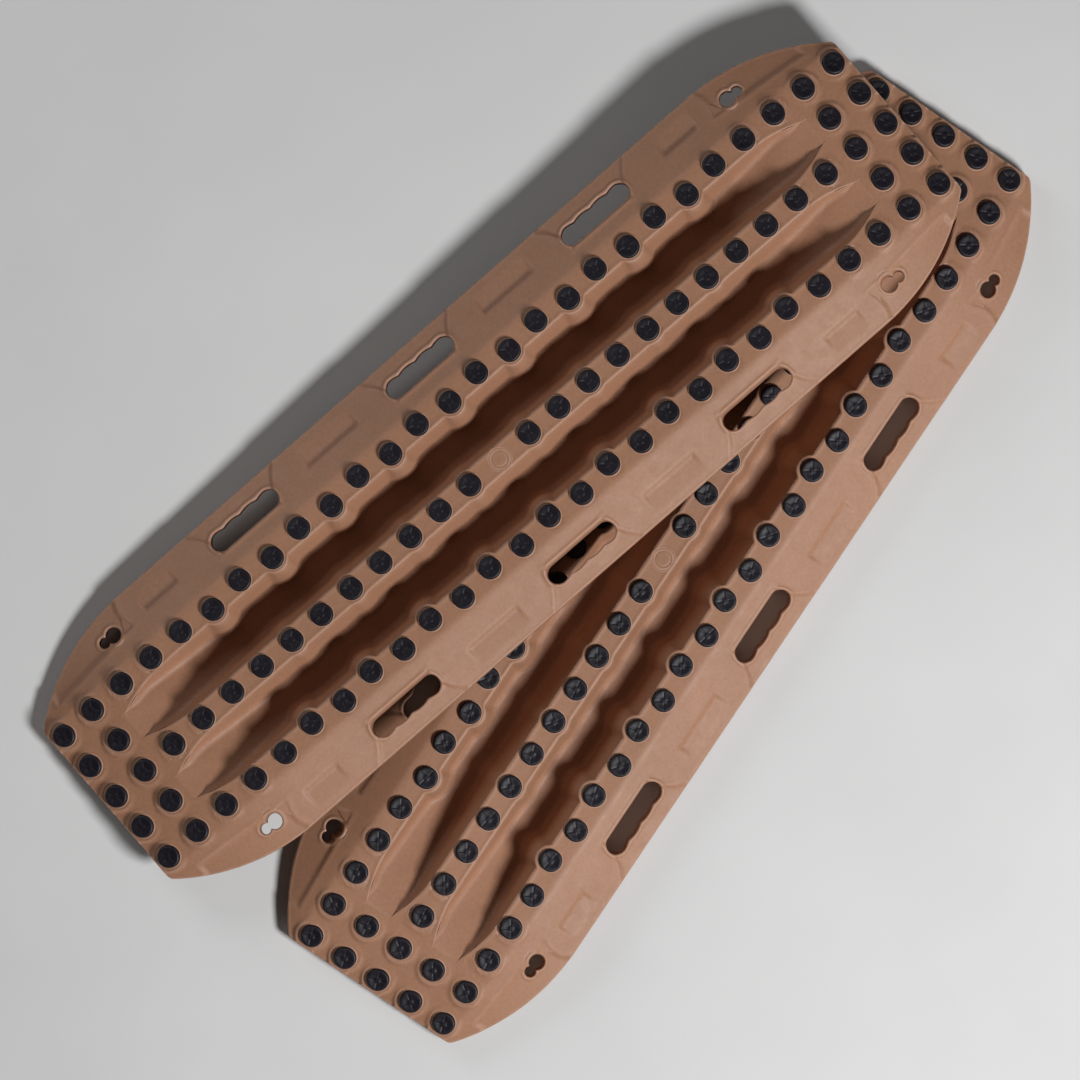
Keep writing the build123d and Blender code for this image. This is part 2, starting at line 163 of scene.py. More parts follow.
# A tooth's face: the depth of its dish and sipes, its hub and where its rounded rim starts.
DISH = 0.8
SIPE = 0.35
SIPE_TURN = 0.35
HUB_R = 2.8
RIM_START = 10.8
# Degrees that the teeth of a row are turned by, one after another.
SPINS = (0, 35, 80, 15, 100, 60, 25)


def smooth(x):
    x = np.clip(x, 0, 1)
    return x * x * (3 - 2 * x)


def soft_min(a, b, k):
    h = np.clip(0.5 + 0.5 * (b - a) / k, 0, 1)
    return b * (1 - h) + a * h - k * h * (1 - h)


def soft_max(a, b, k):
    return -soft_min(-a, -b, k)


def ridge_z(u):
    past = np.maximum(0, np.abs(u) - RAMP_START)
    return RIDGE - RAMP_RADIUS + np.sqrt(RAMP_RADIUS**2 - past**2)


def ramp_angle(u):
    past = max(0.0, abs(u) - RAMP_START)
    return math.atan2(past, math.sqrt(RAMP_RADIUS**2 - past**2))


def edge_v(u, inset):
    """Half width of the outline at u, moved in by inset."""
    run = LENGTH / 2 - SHOULDER_START
    fall = (WIDTH - TIP_WIDTH) / 2
    big = (run**2 + fall**2) / (2 * fall)
    au = np.abs(u)
    v = np.full_like(au, WIDTH / 2 - inset)
    past = np.clip(au - SHOULDER_START, 0, big - inset)
    curve = WIDTH / 2 - big + np.sqrt((big - inset) ** 2 - past**2)
    v = np.where(au > SHOULDER_START, curve, v)
    cu = LENGTH / 2 - TIP_CORNER
    reach = cu - SHOULDER_START
    cv = WIDTH / 2 - big + math.sqrt((big - TIP_CORNER) ** 2 - reach**2)
    r = TIP_CORNER - inset
    start = cu + r * reach / (big - TIP_CORNER)
    corner = cv + np.sqrt(np.maximum(0, r**2 - np.clip(au - cu, 0, r) ** 2))
    return np.where(au > start, corner, v)


def teeth_rows():
    rows = {"left": [], "centre": [], "right": [], "end": []}
    for i in range(-TEETH, TEETH + 1):
        u = i * PITCH
        inner = i % 2 == 0 and abs(i) <= ZIGZAG_LAST
        row = OUTER_ROW - ZIGZAG if inner else OUTER_ROW
        rows["left"].append((u, row))
        rows["right"].append((u, -row))
        if i != 0:
            rows["centre"].append((u, 0.0))
        if abs(i) >= TEETH - 1:
            rows["end"].append((u, END_ROW))
            rows["end"].append((u, -END_ROW))
    return rows


def seat(u):
    """Height and tilt of a tooth's seat."""
    slope = ramp_angle(u)
    tilt = TILT_SHARE * slope
    rise = PAD_R * math.tan(slope - tilt)
    return float(ridge_z(np.array(u))) + rise, math.copysign(tilt, u) if u else 0.0


def seat_matrix(u, v):
    z, tilt = seat(u)
    return Matrix.Translation((u, v, z)) @ Matrix.Rotation(tilt, 4, "Y")


def pocket_side():
    """Centre and radius of the arc that bounds a handle's pocket, and the pocket's near side."""
    near = -SLOT_W / 2 - POCKET_MARGIN
    a = (SLOT_L / 2 - 3, near)
    b = (SLOT_L / 2 + 6, near + 0.6 * (POCKET_EDGE - near))
    c = (POCKET_HALF, POCKET_EDGE)
    d = 2 * (a[0] * (b[1] - c[1]) + b[0] * (c[1] - a[1]) + c[0] * (a[1] - b[1]))
    sa, sb, sc = (p[0] ** 2 + p[1] ** 2 for p in (a, b, c))
    x = (sa * (b[1] - c[1]) + sb * (c[1] - a[1]) + sc * (a[1] - b[1])) / d
    y = (sa * (c[0] - b[0]) + sb * (a[0] - c[0]) + sc * (b[0] - a[0])) / d
    return x, y, math.hypot(a[0] - x, a[1] - y), near


ARC_X, ARC_Y, ARC_R, POCKET_NEAR = pocket_side()


def rim(inside):
    """The slight swell just outside a pocket's edge."""
    return 0.45 * np.exp(-(((inside + 1.6) / 2.0) ** 2))


def plate_z(u, v):
    """Height of the ridges and the sloping flanges, without any detail."""
    x = np.abs(v) - FLANGE_START
    return ridge_z(u) - FLANGE_SLOPE * 0.5 * (x + np.sqrt(x * x + FLANGE_BEND**2))


def with_pads(z, u, v):
    """Raises z to the tilted pads under the teeth of the ramps."""
    for row in teeth_rows().values():
        for tu, tv in row:
            if abs(tu) <= RAMP_START:
                continue
            sz, tilt = seat(tu)
            r = np.hypot(u - tu, v - tv)
            lift = np.maximum(0, sz - math.tan(tilt) * (u - tu) - z)
            z = z + lift * (1 - smooth((r - PAD_R - PAD_GAP) / PAD_BLEND))
    return z


def handle_pocket(px, py):
    """Change of height in and round a handle's pocket, px along from its middle and py outwards."""
    bow = np.sqrt(np.maximum(0, ARC_R**2 - (py - ARC_Y) ** 2))
    side = ARC_X - bow if ARC_X > 60 else ARC_X + bow
    inside = np.minimum(side - np.abs(px), py - POCKET_NEAR)
    floor = POCKET + DEEPER - POCKET_SHALLOWER * np.clip((py - POCKET_NEAR) / 46, 0, 1)
    return rim(inside) - floor * smooth(inside / 4.0)


def key_pocket(au, ky):
    """Change of height in and round a keyhole's pocket."""
    kx = au - KEY_U
    inner_line = (ky + 9) + (kx + 11) * (10.0 / 108.0)
    end_line = kx + 21 + 0.035 * (ky - 12) ** 2 * np.where(ky > 12, 0.5, 0.4)
    inside = np.minimum(np.minimum(inner_line, end_line), KEY_POCKET_REACH - kx)
    return (rim(inside) - POCKET * smooth(inside / 5.0)) * smooth((au - KEY_POCKET_START) / 20)


def recess(au, across, centre, length):
    """Change of height in a recess, deepest at its inner side."""
    inside = np.minimum(length / 2 - np.abs(au - centre), across)
    return -(RECESS + DEEPER) * np.clip(1 - across / RECESS_W, 0, 1) * smooth(inside / 2.4)


def surface(u, v):
    """Height of the deck's surface away from the valleys."""
    au, av = np.abs(u), np.abs(v)
    z = with_pads(plate_z(u, v), u, v)
    for k in (-1, 0, 1):
        z = z + handle_pocket(u - k * HANDLE_STEP, av - HANDLE_ROW)
    z = z + key_pocket(au, av - HANDLE_ROW)
    for centre, length in RECESSES:
        z = z + recess(au, av - HANDLE_ROW + 3, centre, length)
    return z


def post_radius(z):
    return PAD_R + POST_FLARE * (RIDGE - z)


def valley_edges(u, z):
    """Inner and outer edge of the +v valley at u and height z."""
    z = np.broadcast_to(z, u.shape).astype(float)
    inner = VALLEY_IN + (RIDGE - z) * VALLEY_RUN
    outer = VALLEY_OUT - (RIDGE - z) * VALLEY_RUN
    r = post_radius(z)
    for i in range(-ZIGZAG_LAST, ZIGZAG_LAST + 1):
        du = u - i * PITCH
        bulge = np.sqrt(np.maximum(0, r * r - du * du))
        near = np.abs(du) < r
        if i % 2:
            inner = np.where(near, soft_max(inner, bulge, 3.0), inner)
        else:
            outer = np.where(near, soft_min(outer, OUTER_ROW - ZIGZAG - bulge, 3.0), outer)
    middle = (VALLEY_IN + VALLEY_OUT) / 2
    wide = (VALLEY_OUT - VALLEY_IN) / 2 + 0.4 * RIDGE
    left = np.clip((VALLEY_END - np.abs(u)) / VALLEY_FLARE, 0, 1)
    half = VALLEY_END_W / 2 + (wide - VALLEY_END_W / 2) * left
    inner = soft_max(inner, middle - half, 4.0)
    outer = soft_min(outer, middle + half, 4.0)
    return inner + SKIN, outer - SKIN


def valley_floor(u):
    end_z = float(ridge_z(np.array(VALLEY_END)))
    slope = (end_z - VALLEY_FLOOR) / (VALLEY_END - VALLEY_DEEP)
    ramp = VALLEY_FLOOR + slope * (np.abs(u) - VALLEY_DEEP)
    return soft_max(np.full_like(u, VALLEY_FLOOR), ramp, 8.0)


def half_section(u):
    """Points (v, z) from the middle of the board out to the start of the flange, for all u."""
    top = ridge_z(u)
    floor = np.minimum(valley_floor(u), top)
    depth = top - floor
    size = smooth(depth / 10.0)
    swell = smooth(depth / 30.0)
    inner_edge, outer_edge = valley_edges(u, top)
    low = top + LIP[-1][1] * size
    turn = FOOT_R * size
    edge_in, edge_out = valley_edges(u, floor + turn)
    reach = np.minimum(turn * 1.1, 0.42 * (edge_out - edge_in))
    vs, zs, in_valley = [], [], []

    def add(v, z, valley=True):
        vs.append(v)
        zs.append(z)
        in_valley.append(valley)

    def lip_z(dz):
        return top + dz * (swell if dz > 0 else size)

    def wall_z(k):
        return low + (floor + turn - low) * k / WALL_STEPS

    for share in (0.0, 0.35, 0.72):
        add((inner_edge - LIP_REACH) * share, top, False)
    for d, dz in LIP:
        add(inner_edge - d, lip_z(dz))
    for k in range(1, WALL_STEPS + 1):
        add(valley_edges(u, wall_z(k))[0], wall_z(k))
    for t in FOOT_BENDS:
        add(edge_in + reach * (1 - math.cos(t)), floor + turn * (1 - math.sin(t)))
    add((edge_in + edge_out) / 2, floor)
    for t in reversed(FOOT_BENDS):
        add(edge_out - reach * (1 - math.cos(t)), floor + turn * (1 - math.sin(t)))
    for k in range(WALL_STEPS, 0, -1):
        add(valley_edges(u, wall_z(k))[1], wall_z(k))
    for d, dz in reversed(LIP):
        add(outer_edge + d, lip_z(dz))
    start = outer_edge + LIP_REACH
    for k in range(1, PLATE_ROWS + 1):
        add(start + (FLANGE_START - start) * k / PLATE_ROWS, top, False)
    return np.array(vs), np.array(zs), np.array(in_valley)


def board_columns():
    step = PITCH / COLUMNS_PER_PITCH
    count = TEETH * COLUMNS_PER_PITCH + COLUMNS_PAST_TEETH
    tip = LENGTH / 2 + SKIN - EDGE_R
    last = [tip - 1.6, tip - 0.5, tip]
    even = [x for x in np.arange(-count, count + 1) * step if abs(x) < tip - 2.0]
    return np.array([-x for x in reversed(last)] + even + last)


class MeshParts:
    """Vertices and faces collected for one mesh, in board millimetres."""

    def __init__(self):
        self.verts = []
        self.faces = []

    def add(self, points):
        first = len(self.verts)
        self.verts.extend(tuple(map(float, p)) for p in points)
        return list(range(first, len(self.verts)))


def loft(parts, rings, closed=True):
    """Quads between neighbouring rings of vertex numbers."""
    for a, b in zip(rings, rings[1:]):
        n = len(a)
        for i in range(n if closed else n - 1):
            j = (i + 1) % n
            parts.faces.append((a[i], a[j], b[j], b[i]))


def circle(r, z, segments):
    angles = (2 * math.pi * s / segments for s in range(segments))
    return [Vector((r * math.cos(a), r * math.sin(a), z)) for a in angles]


def slot_ring(px, py, out):
    """Points of a handle slot's outline, grown by out, nearest to the points given."""
    half = SLOT_L / 2 - SLOT_W / 2
    cx = np.clip(px, -half, half)
    d = np.hypot(px - cx, py)
    r = SLOT_W / 2 - SKIN + out
    qx = cx + (px - cx) / d * r
    qy = py / d * r
    wave_r = ((FINGER_PITCH / 2) ** 2 + FINGER_DEPTH**2) / (2 * FINGER_DEPTH)
    k = np.clip(np.round(qx / FINGER_PITCH - 0.5), -2, 1) + 0.5
    dx = np.clip(qx - k * FINGER_PITCH, -FINGER_PITCH / 2, FINGER_PITCH / 2)
    dip = wave_r - np.sqrt(wave_r**2 - dx**2)
    dip = soft_min(dip, np.full_like(dip, FINGER_DEPTH - 0.25), 0.6)
    fade = math.exp(-max(out, 0) / 5.0) * smooth((half + 10 - np.abs(qx)) / 8)
    qy = np.where(qy > 0, qy - np.maximum(dip, 0) * fade, qy)
    return qx, qy


def key_ring(px, py, out):
    """Points of a keyhole's outline, grown by out, in the directions of the points given."""
    ox = 4.5
    angle = np.arctan2(py, px - ox)
    reach = np.zeros_like(angle)
    for cx, r in ((0.0, KEY_BIG), (KEY_STEP, KEY_SMALL)):
        r = r - SKIN + out
        bx = (cx - ox) * np.cos(angle)
        disc = r * r - (cx - ox) ** 2 + bx * bx
        hit = np.where(disc > 0, bx + np.sqrt(np.maximum(disc, 0)), 0)
        reach = soft_max(reach, hit, 0.8)
    return ox + reach * np.cos(angle), reach * np.sin(angle)


def hole_list():
    """Each hole's place along the board, its side and end, its outline and its patch."""
    holes = []
    for side in (1, -1):
        for k in (-1, 0, 1):
            holes.append((k * HANDLE_STEP, side, 1, slot_ring, SLOT_PATCH))
        for end in (1, -1):
            holes.append((end * KEY_U, side, end, key_ring, KEY_PATCH))
    return holes


def hole_patch(parts, loop, centre_u, side, end, ring):
    """Fills between a loop of grid vertices and a hole, and lines the hole."""
    centre_v = side * HANDLE_ROW
    pts = np.array([parts.verts[i] for i in loop])
    px = (pts[:, 0] - centre_u) * end
    py = (pts[:, 1] - centre_v) * side
    rings = [loop]

    def place(qx, qy, drop):
        u = qx * end + centre_u
        v = qy * side + centre_v
        return np.stack([u, v, surface(u, v) + SKIN - drop], 1)

    gx, gy = ring(px, py, HOLE_RIM[0][0])
    for share in (0.25, 0.5, 0.75):
        rings.append(parts.add(place(px + (gx - px) * share, py + (gy - py) * share, 0.0)))
    for out, drop in HOLE_RIM:
        rings.append(parts.add(place(*ring(px, py, out), drop)))
    wall = place(*ring(px, py, 0.0), HOLE_RIM[-1][1])
    bottom = FLANGE_UNDERSIDE - HOLE_TUCK
    for share in (0.3, 0.65, 1.0):
        z = wall[:, 2] + (bottom - wall[:, 2]) * share
        rings.append(parts.add(np.column_stack([wall[:, :2], z])))
    if side * end < 0:
        rings = [r[::-1] for r in rings]
    loft(parts, rings)


def nearest(values, wanted):
    return int(np.argmin(np.abs(values - wanted)))


def half_grid(u):
    """Points (v, z) of one half of the deck's top, and which of them lie in a valley."""
    v, z, in_valley = half_section(u)
    edge = edge_v(u, EDGE_R - SKIN)
    start = np.minimum(FLANGE_START, edge - 4.0)
    flange = [start + (edge - start) * k / FLANGE_ROWS for k in range(1, FLANGE_ROWS + 1)]
    v = np.concatenate([v, np.array(flange)])
    z = np.concatenate([z, np.zeros((FLANGE_ROWS, len(u)))])
    in_valley = np.concatenate([in_valley, np.zeros(FLANGE_ROWS, bool)])
    even = edge[None, :] * np.linspace(0, 1, len(v))[:, None]
    mix = smooth((np.abs(u) - VALLEY_END - 1) / 10.0)[None, :]
    return v * (1 - mix) + even * mix, z, in_valley[:, None] & (mix < 0.01)


def deck_grid(u):
    """The deck's top as rows of points (u, v, z), from one long side to the other."""
    v, z_valley, in_valley = half_grid(u)
    grid_u = np.broadcast_to(u, v.shape)
    grid_u = np.concatenate([grid_u[:0:-1], grid_u])
    grid_v = np.concatenate([-v[:0:-1], v])
    z_valley = np.concatenate([z_valley[:0:-1], z_valley])
    in_valley = np.concatenate([in_valley[:0:-1], in_valley])
    plain = surface(grid_u, grid_v)
    z = np.where(in_valley, np.minimum(z_valley, plain + 0.7), plain) + SKIN
    return np.stack([grid_u, grid_v, z], 2)


def hole_window(grid, hole):
    """First and last row and column of the grid cells left out round a hole."""
    centre, side, end, ring, (back, on, across) = hole
    low, high = sorted((centre - end * back, centre + end * on))
    i0, i1 = nearest(grid[0, :, 0], low), nearest(grid[0, :, 0], high)
    line = grid[:, (i0 + i1) // 2, 1]
    j0 = nearest(line, side * HANDLE_ROW - across)
    j1 = nearest(line, side * HANDLE_ROW + across)
    return j0, j1, i0, i1


def outline_loop(at, j0, j1, i0, i1):
    """Vertex numbers round a block of grid cells."""
    loop = [at(j0, i) for i in range(i0, i1)]
    loop += [at(j, i1) for j in range(j0, j1)]
    loop += [at(j1, i) for i in range(i1, i0, -1)]
    return loop + [at(j, i0) for j in range(j1, j0, -1)]


def lower_edge(v):
    """Height of the bottom of the board's side at v."""
    return np.where(np.abs(v) > KEEL_HALF, FLANGE_UNDERSIDE, PANEL)


def add_side(parts, border):
    """Rounds the board's rim, drops its side and tucks the bottom edge in."""
    pts = np.array([parts.verts[i] for i in border])
    ahead = np.roll(pts, -1, 0)[:, :2] - pts[:, :2]
    ahead /= np.maximum(np.hypot(ahead[:, 0], ahead[:, 1]), 1e-9)[:, None]
    along = ahead + np.roll(ahead, 1, 0)
    along /= np.hypot(along[:, 0], along[:, 1])[:, None]
    normal = np.stack([along[:, 1], -along[:, 0]], 1)
    rings = [border]
    for k in range(1, EDGE_STEPS + 1):
        t = math.pi / 2 * k / EDGE_STEPS
        moved = pts[:, :2] + normal * (EDGE_R * math.sin(t))
        rings.append(parts.add(np.column_stack([moved, pts[:, 2] - EDGE_R * (1 - math.cos(t))])))
    side_xy = pts[:, :2] + normal * EDGE_R
    top = pts[:, 2] - EDGE_R
    low = lower_edge(side_xy[:, 1])
    for share in (0.35, 0.7, 1.0):
        rings.append(parts.add(np.column_stack([side_xy, top + (low - top) * share])))
    rings.append(parts.add(np.column_stack([side_xy - normal * EDGE_TUCK, low + 0.05])))
    loft(parts, [r[::-1] for r in rings])


def build_skin():
    """The deck's outer surface as one mesh: a grid that follows the valleys' edges."""
    parts = MeshParts()
    grid = deck_grid(board_columns())
    rows, columns = grid.shape[:2]
    first = parts.add(grid.reshape(-1, 3))[0]

    def at(j, i):
        return first + j * columns + i

    skip = set()
    for hole in hole_list():
        centre, side, end, ring, patch = hole
        j0, j1, i0, i1 = hole_window(grid, hole)
        skip.update((j, i) for j in range(j0, j1) for i in range(i0, i1))
        loop = outline_loop(at, j0, j1, i0, i1)
        if side * end < 0:
            loop = loop[::-1]
        hole_patch(parts, loop, centre, side, end, ring)
    for j in range(rows - 1):
        for i in range(columns - 1):
            if (j, i) not in skip:
                parts.faces.append((at(j, i), at(j, i + 1), at(j + 1, i + 1), at(j + 1, i)))
    add_side(parts, outline_loop(at, 0, rows - 1, 0, columns - 1))
    return parts


def build_rings():
    """The thin raised ring round each tooth's socket."""
    parts = MeshParts()
    for row in teeth_rows().values():
        for u, v in row:
            m = seat_matrix(u, v)
            rings = [parts.add([m @ p for p in circle(r, z, 40)]) for r, z in SOCKET_RING]
            loft(parts, [r[::-1] for r in rings])
    return parts


def tooth_z(x, y):
    """Height of a tooth's face: dished, with crossing sipes, a hub and a rounded rim."""
    r = math.hypot(x, y)
    z = TOOTH_H - DISH * (1 - float(smooth((r - 4.0) / 6.0)))
    if r > RIM_START:
        z = TOOTH_H - 1.5 * ((r - RIM_START) / 1.7) ** 2.2
    if HUB_R < r < 10.5:
        across = min(abs(x + SIPE_TURN * y), abs(y - SIPE_TURN * x))
        z -= SIPE * float(smooth(1.4 - across / 1.1))
    if r < HUB_R:
        z += 0.2
    return z


def tooth_rings():
    """One tooth as rings about its seat, from the middle of its face down to its foot."""
    face = (0.4, 1.4, 2.4, 3.2, 4.2, 5.4, 6.6, 7.8, 8.8, 9.5, 10.1, 10.8, 11.5, 12.0, 12.35, 12.5)
    rings = [[Vector((p.x, p.y, tooth_z(p.x, p.y))) for p in circle(r, 0.0, 72)] for r in face]
    return rings + [circle(TOOTH_R, z, 72) for z in (TOOTH_H - 2.6, 2.6, 0.8, -1.0)]


def build_teeth(spots):
    parts = MeshParts()
    shape = tooth_rings()
    for index, (u, v) in enumerate(spots):
        spin = Matrix.Rotation(math.radians(SPINS[index % len(SPINS)]), 4, "Z")
        m = seat_matrix(u, v) @ spin
        rings = [parts.add([m @ p for p in ring]) for ring in shape]
        loft(parts, [r[::-1] for r in rings])
        parts.faces.append(tuple(rings[0]))
    return parts


def build_plug():
    """The blank disc in the middle socket, with a ring groove."""
    parts = MeshParts()
    z0 = float(ridge_z(np.array(0.0)))
    rings = [parts.add(circle(r, z0 + z, 64)) for r, z in PLUG_PROFILE]
    loft(parts, [r[::-1] for r in rings])
    parts.faces.append(tuple(rings[0]))
    return parts


def to_object(name, parts, place):
    mesh = bpy.data.meshes.new(name)
    mesh.from_pydata([tuple(c * 0.001 for c in p) for p in parts.verts], [], parts.faces)
    mesh.transform(place)
    mesh.validate()
    mesh.polygons.foreach_set("use_smooth", [True] * len(mesh.polygons))
    mesh.update()
    obj = bpy.data.objects.new(name, mesh)
    bpy.context.scene.collection.objects.link(obj)
    return obj


def upper_place():
    """The upper board's frame, from the four pairs of keyholes in the record."""
    low, high = {}, {}
    for mount in frame["record"]["mounts"]:
        board, _, corner = mount["name"].partition("_keyhole_")
        if board == "lower":
            low[corner] = Vector(mount["pos_m"])
        if board == "upper":
            high[corner] = Vector(mount["pos_m"])
            up = Vector(mount["axis"])
    x = (high["front_left"] - high["back_left"]).normalized()
    z = up.normalized()
    y = z.cross(x)
    m = Matrix((x, y, z)).transposed().to_4x4()
    m.translation = sum(high.values(), Vector()) / 4 - z * low["front_left"].z
    return m


# Materials


def new_material(name):
    mat = bpy.data.materials.new(name)
    mat.use_nodes = True
    nodes = mat.node_tree.nodes
    links = mat.node_tree.links
    return mat, nodes, links, nodes["Principled BSDF"]


def add_noise(nodes, links, coords, scale, detail=4.0, rough=0.55):
    node = nodes.new("ShaderNodeTexNoise")
    node.inputs["Scale"].default_value = scale
    node.inputs["Detail"].default_value = detail
    node.inputs["Roughness"].default_value = rough
    links.new(coords.outputs["Object"], node.inputs["Vector"])
    return node


def add_ramp(nodes, links, source, stops):
    node = nodes.new("ShaderNodeValToRGB")
    node.color_ramp.elements[0].position = stops[0][0]
    node.color_ramp.elements[0].color = (*stops[0][1], 1)
    node.color_ramp.elements[1].position = stops[-1][0]
    node.color_ramp.elements[1].color = (*stops[-1][1], 1)
    for position, color in stops[1:-1]:
        node.color_ramp.elements.new(position).color = (*color, 1)
    links.new(source, node.inputs["Fac"])
    return node


def add_mix(nodes, links, kind, factor, a, b):
    node = nodes.new("ShaderNodeMix")
    node.data_type = "RGBA"
    node.blend_type = kind
    node.inputs[0].default_value = factor
    links.new(a, node.inputs[6])
    links.new(b, node.inputs[7])
    return node


def add_bump(nodes, links, shader, height, strength, distance):
    node = nodes.new("ShaderNodeBump")
    node.inputs["Strength"].default_value = strength
    node.inputs["Distance"].default_value = distance
    links.new(height.outputs["Fac"], node.inputs["Height"])
    links.new(node.outputs["Normal"], shader.inputs["Normal"])


def grey(x):
    return (x, x, x)


def add_edge_highlight(nodes, links, patch, color, edge_highlight_color):
    """Painted highlight: paler colour on the edges, standing in for the sheen that light puts on them,
    broken up by the patches.
    """
    geometry = nodes.new("ShaderNodeNewGeometry")
    edge = add_ramp(nodes, links, geometry.outputs["Pointiness"], ((0.505, grey(0.0)), (0.56, grey(1.0))))
    broken = add_ramp(nodes, links, patch.outputs["Fac"], ((0.35, grey(0.35)), (0.62, grey(1.0))))
    amount = add_mix(nodes, links, "MULTIPLY", 1.0, edge.outputs["Color"], broken.outputs["Color"])
    # This mix paints the edge highlight over the colour.
    highlighted = nodes.new("ShaderNodeMix")
    highlighted.data_type = "RGBA"
    highlighted.inputs[7].default_value = (*edge_highlight_color, 1)
    links.new(amount.outputs[2], highlighted.inputs[0])
    links.new(color, highlighted.inputs[6])
    return highlighted.outputs[2]


def moulded(name, base, spread, edge_highlight_color, rough, grain_scale, grain, specular=0.4):
    """Moulded plastic: mottled colour, a painted highlight on the edges, scuffed roughness and a fine grain.
    """
    mat, nodes, links, shader = new_material(name)
    coords = nodes.new("ShaderNodeTexCoord")
    broad = add_noise(nodes, links, coords, 7.0, 3.0)
    dark = tuple(c * (1 - spread) for c in base)
    light = tuple(c * (1 + spread) for c in base)
    tone = add_ramp(nodes, links, broad.outputs["Fac"], ((0.3, dark), (0.7, light)))
    fine = add_noise(nodes, links, coords, 260.0, 5.0, 0.65)
    speck = add_ramp(nodes, links, fine.outputs["Fac"], ((0.3, grey(0.9)), (0.7, grey(1.06))))
    mixed = add_mix(nodes, links, "MULTIPLY", 1.0, tone.outputs["Color"], speck.outputs["Color"])
    patch = add_noise(nodes, links, coords, 60.0, 6.0, 0.7)
    # The paler edges are a painted highlight, standing in for the sheen on them.
    highlighted = add_edge_highlight(nodes, links, patch, mixed.outputs[2], edge_highlight_color)
    links.new(highlighted, shader.inputs["Base Color"])
    scuff = add_ramp(
        nodes, links, patch.outputs["Fac"], ((0.25, grey(rough - 0.07)), (0.75, grey(rough + 0.09)))
    )
    links.new(scuff.outputs["Color"], shader.inputs["Roughness"])
    shader.inputs["Specular IOR Level"].default_value = specular
    texture = add_noise(nodes, links, coords, grain_scale, 3.0, 0.6)
    add_bump(nodes, links, shader, texture, grain, 0.0004)
    return mat


def screw_steel():
    """Zinc-plated steel, a little cloudy, with a fine grain."""
    mat, nodes, links, shader = new_material("screw_steel_look")
    coords = nodes.new("ShaderNodeTexCoord")
    cloud = add_noise(nodes, links, coords, 90.0)
    tone = add_ramp(nodes, links, cloud.outputs["Fac"], ((0.3, (0.42, 0.42, 0.43)), (0.7, (0.6, 0.6, 0.61))))
    links.new(tone.outputs["Color"], shader.inputs["Base Color"])
    shader.inputs["Metallic"].default_value = 1.0
    scuff = add_ramp(nodes, links, cloud.outputs["Fac"], ((0.2, grey(0.28)), (0.8, grey(0.45))))
    links.new(scuff.outputs["Color"], shader.inputs["Roughness"])
    fine = add_noise(nodes, links, coords, 900.0, 2.0)
    add_bump(nodes, links, shader, fine, 0.25, 0.0002)
    return mat


# The fourth colour of each look is the painted highlight on its edges.
TAN = moulded("tan_moulding_look", (0.375, 0.19, 0.113), 0.05, (0.54, 0.34, 0.26), 0.5, 900.0, 0.3, 0.3)
DARK = moulded("dark_moulding_look", (0.03, 0.029, 0.03), 0.15, (0.12, 0.115, 0.11), 0.6, 700.0, 0.4)
TOOTH = moulded(
    "tooth_black_look", (0.0085, 0.0068, 0.0115), 0.2, (0.025, 0.023, 0.03), 0.48, 800.0, 0.25, 0.32
)
STEEL = screw_steel()
LOOKS = {"tan_moulding": TAN, "dark_moulding": DARK, "tooth_black": TOOTH, "screw_steel": STEEL}

slots = {part["node"]: part["material_slot"] for part in frame["record"]["subparts"]}
for node, obj in frame["nodes"].items():
    for material_slot in obj.material_slots:
        material_slot.material = LOOKS[slots[node]]


def finish_piece(obj, body, slot, *nodes):
    obj.data.materials.append(LOOKS[slot])
    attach(obj, body)
    if nodes:
        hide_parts(*nodes)


skin_parts = build_skin()
ring_parts = build_rings()
plug_parts = build_plug()
places = {"lower": Matrix.Identity(4), "upper": upper_place()}
for board, place in places.items():
    body = board + "_board"
    skin = to_object(board + "_skin", skin_parts, place)
    finish_piece(skin, body, "tan_moulding")
    rings = to_object(board + "_socket_rings", ring_parts, place)
    finish_piece(rings, body, "tan_moulding")
    plug = to_object(board + "_plug_face", plug_parts, place)
    finish_piece(plug, body, "tan_moulding", board + "_centre_plug")
    for row, spots in teeth_rows().items():
        teeth = to_object(board + "_studs_" + row, build_teeth(spots), place)
        finish_piece(teeth, body, "tooth_black", board + "_teeth_" + row)

# Stage, light and camera

TURN = math.radians(56.28)
IMAGE_RIGHT = Vector((math.cos(TURN), -math.sin(TURN), 0))
CENTRE = Vector(((cad_low[0] + cad_high[0]) / 2, (cad_low[1] + cad_high[1]) / 2, 0.04))
FLOOR_HALF = 14.0
FLOOR_Z = -0.0002
LIGHT_DISTANCE = 4.0
KEY_SIZE = 1.0
KEY_POWER = 152.0
FILL_SIZE = 2.0
FILL_POWER = 38.0
WORLD_STRENGTH = 0.03
# The camera looks down and a little towards -Y, from far enough off for little perspective.
TILT = 0.1
DISTANCE = 10.0
AIM_OFFSET = Vector((-0.0502, -0.0354, 0))
LENS = 300.6
SENSOR = 36.0


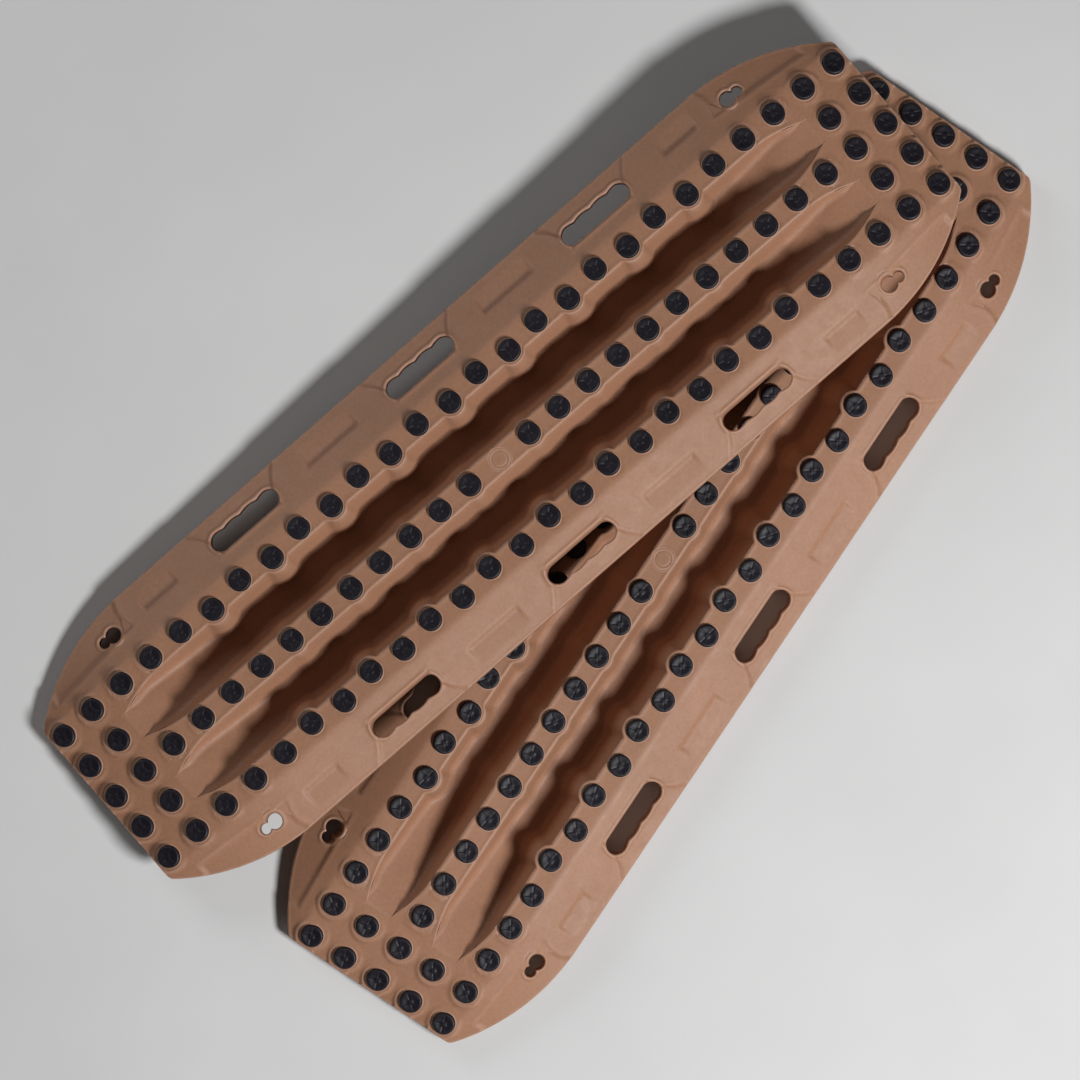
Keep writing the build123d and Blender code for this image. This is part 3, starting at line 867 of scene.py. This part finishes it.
def add_floor():
    mesh = bpy.data.meshes.new("floor")
    corners = [(x * FLOOR_HALF, y * FLOOR_HALF, FLOOR_Z) for x, y in ((-1, -1), (1, -1), (1, 1), (-1, 1))]
    mesh.from_pydata(corners, [], [(0, 1, 2, 3)])
    floor = bpy.data.objects.new("floor", mesh)
    bpy.context.scene.collection.objects.link(floor)
    mat, nodes, links, shader = new_material("floor_look")
    coords = nodes.new("ShaderNodeTexCoord")
    cloud = add_noise(nodes, links, coords, 3.0, 3.0)
    tone = add_ramp(nodes, links, cloud.outputs["Fac"], ((0.3, grey(0.66)), (0.7, grey(0.7))))
    links.new(tone.outputs["Color"], shader.inputs["Base Color"])
    shader.inputs["Roughness"].default_value = 0.8
    mesh.materials.append(mat)


def add_area(name, position, target, size, power):
    light = bpy.data.lights.new(name, "AREA")
    light.shape = "DISK"
    light.size = size
    light.energy = power
    obj = bpy.data.objects.new(name, light)
    obj.location = position
    obj.rotation_euler = (target - position).to_track_quat("-Z", "Y").to_euler()
    bpy.context.scene.collection.objects.link(obj)


def toward(azimuth, elevation):
    """Unit vector at that many degrees round from +Y towards +X, and above the floor."""
    a, e = math.radians(azimuth), math.radians(elevation)
    return Vector((math.sin(a) * math.cos(e), math.cos(a) * math.cos(e), math.sin(e)))


add_floor()
add_area("key", CENTRE + LIGHT_DISTANCE * toward(187, 49), CENTRE, KEY_SIZE, KEY_POWER)
add_area("fill", CENTRE + LIGHT_DISTANCE * toward(5, 28), CENTRE, FILL_SIZE, FILL_POWER)

world = bpy.data.worlds.new("studio")
world.use_nodes = True
world.node_tree.nodes["Background"].inputs["Color"].default_value = (1.0, 0.98, 0.96, 1)
world.node_tree.nodes["Background"].inputs["Strength"].default_value = WORLD_STRENGTH
bpy.context.scene.world = world
bpy.context.scene.view_settings.view_transform = "Standard"

camera_data = bpy.data.cameras.new("camera")
camera = bpy.data.objects.new("camera", camera_data)
bpy.context.scene.collection.objects.link(camera)
back = Vector((0, TILT, math.sqrt(1 - TILT**2)))
right = (IMAGE_RIGHT - back * IMAGE_RIGHT.dot(back)).normalized()
up = back.cross(right)
pose = Matrix((right, up, back)).transposed().to_4x4()
pose.translation = CENTRE + AIM_OFFSET + back * DISTANCE
camera.matrix_world = pose
camera_data.sensor_width = SENSOR
camera_data.lens = LENS
camera_data.clip_end = 60.0
bpy.context.scene.camera = camera
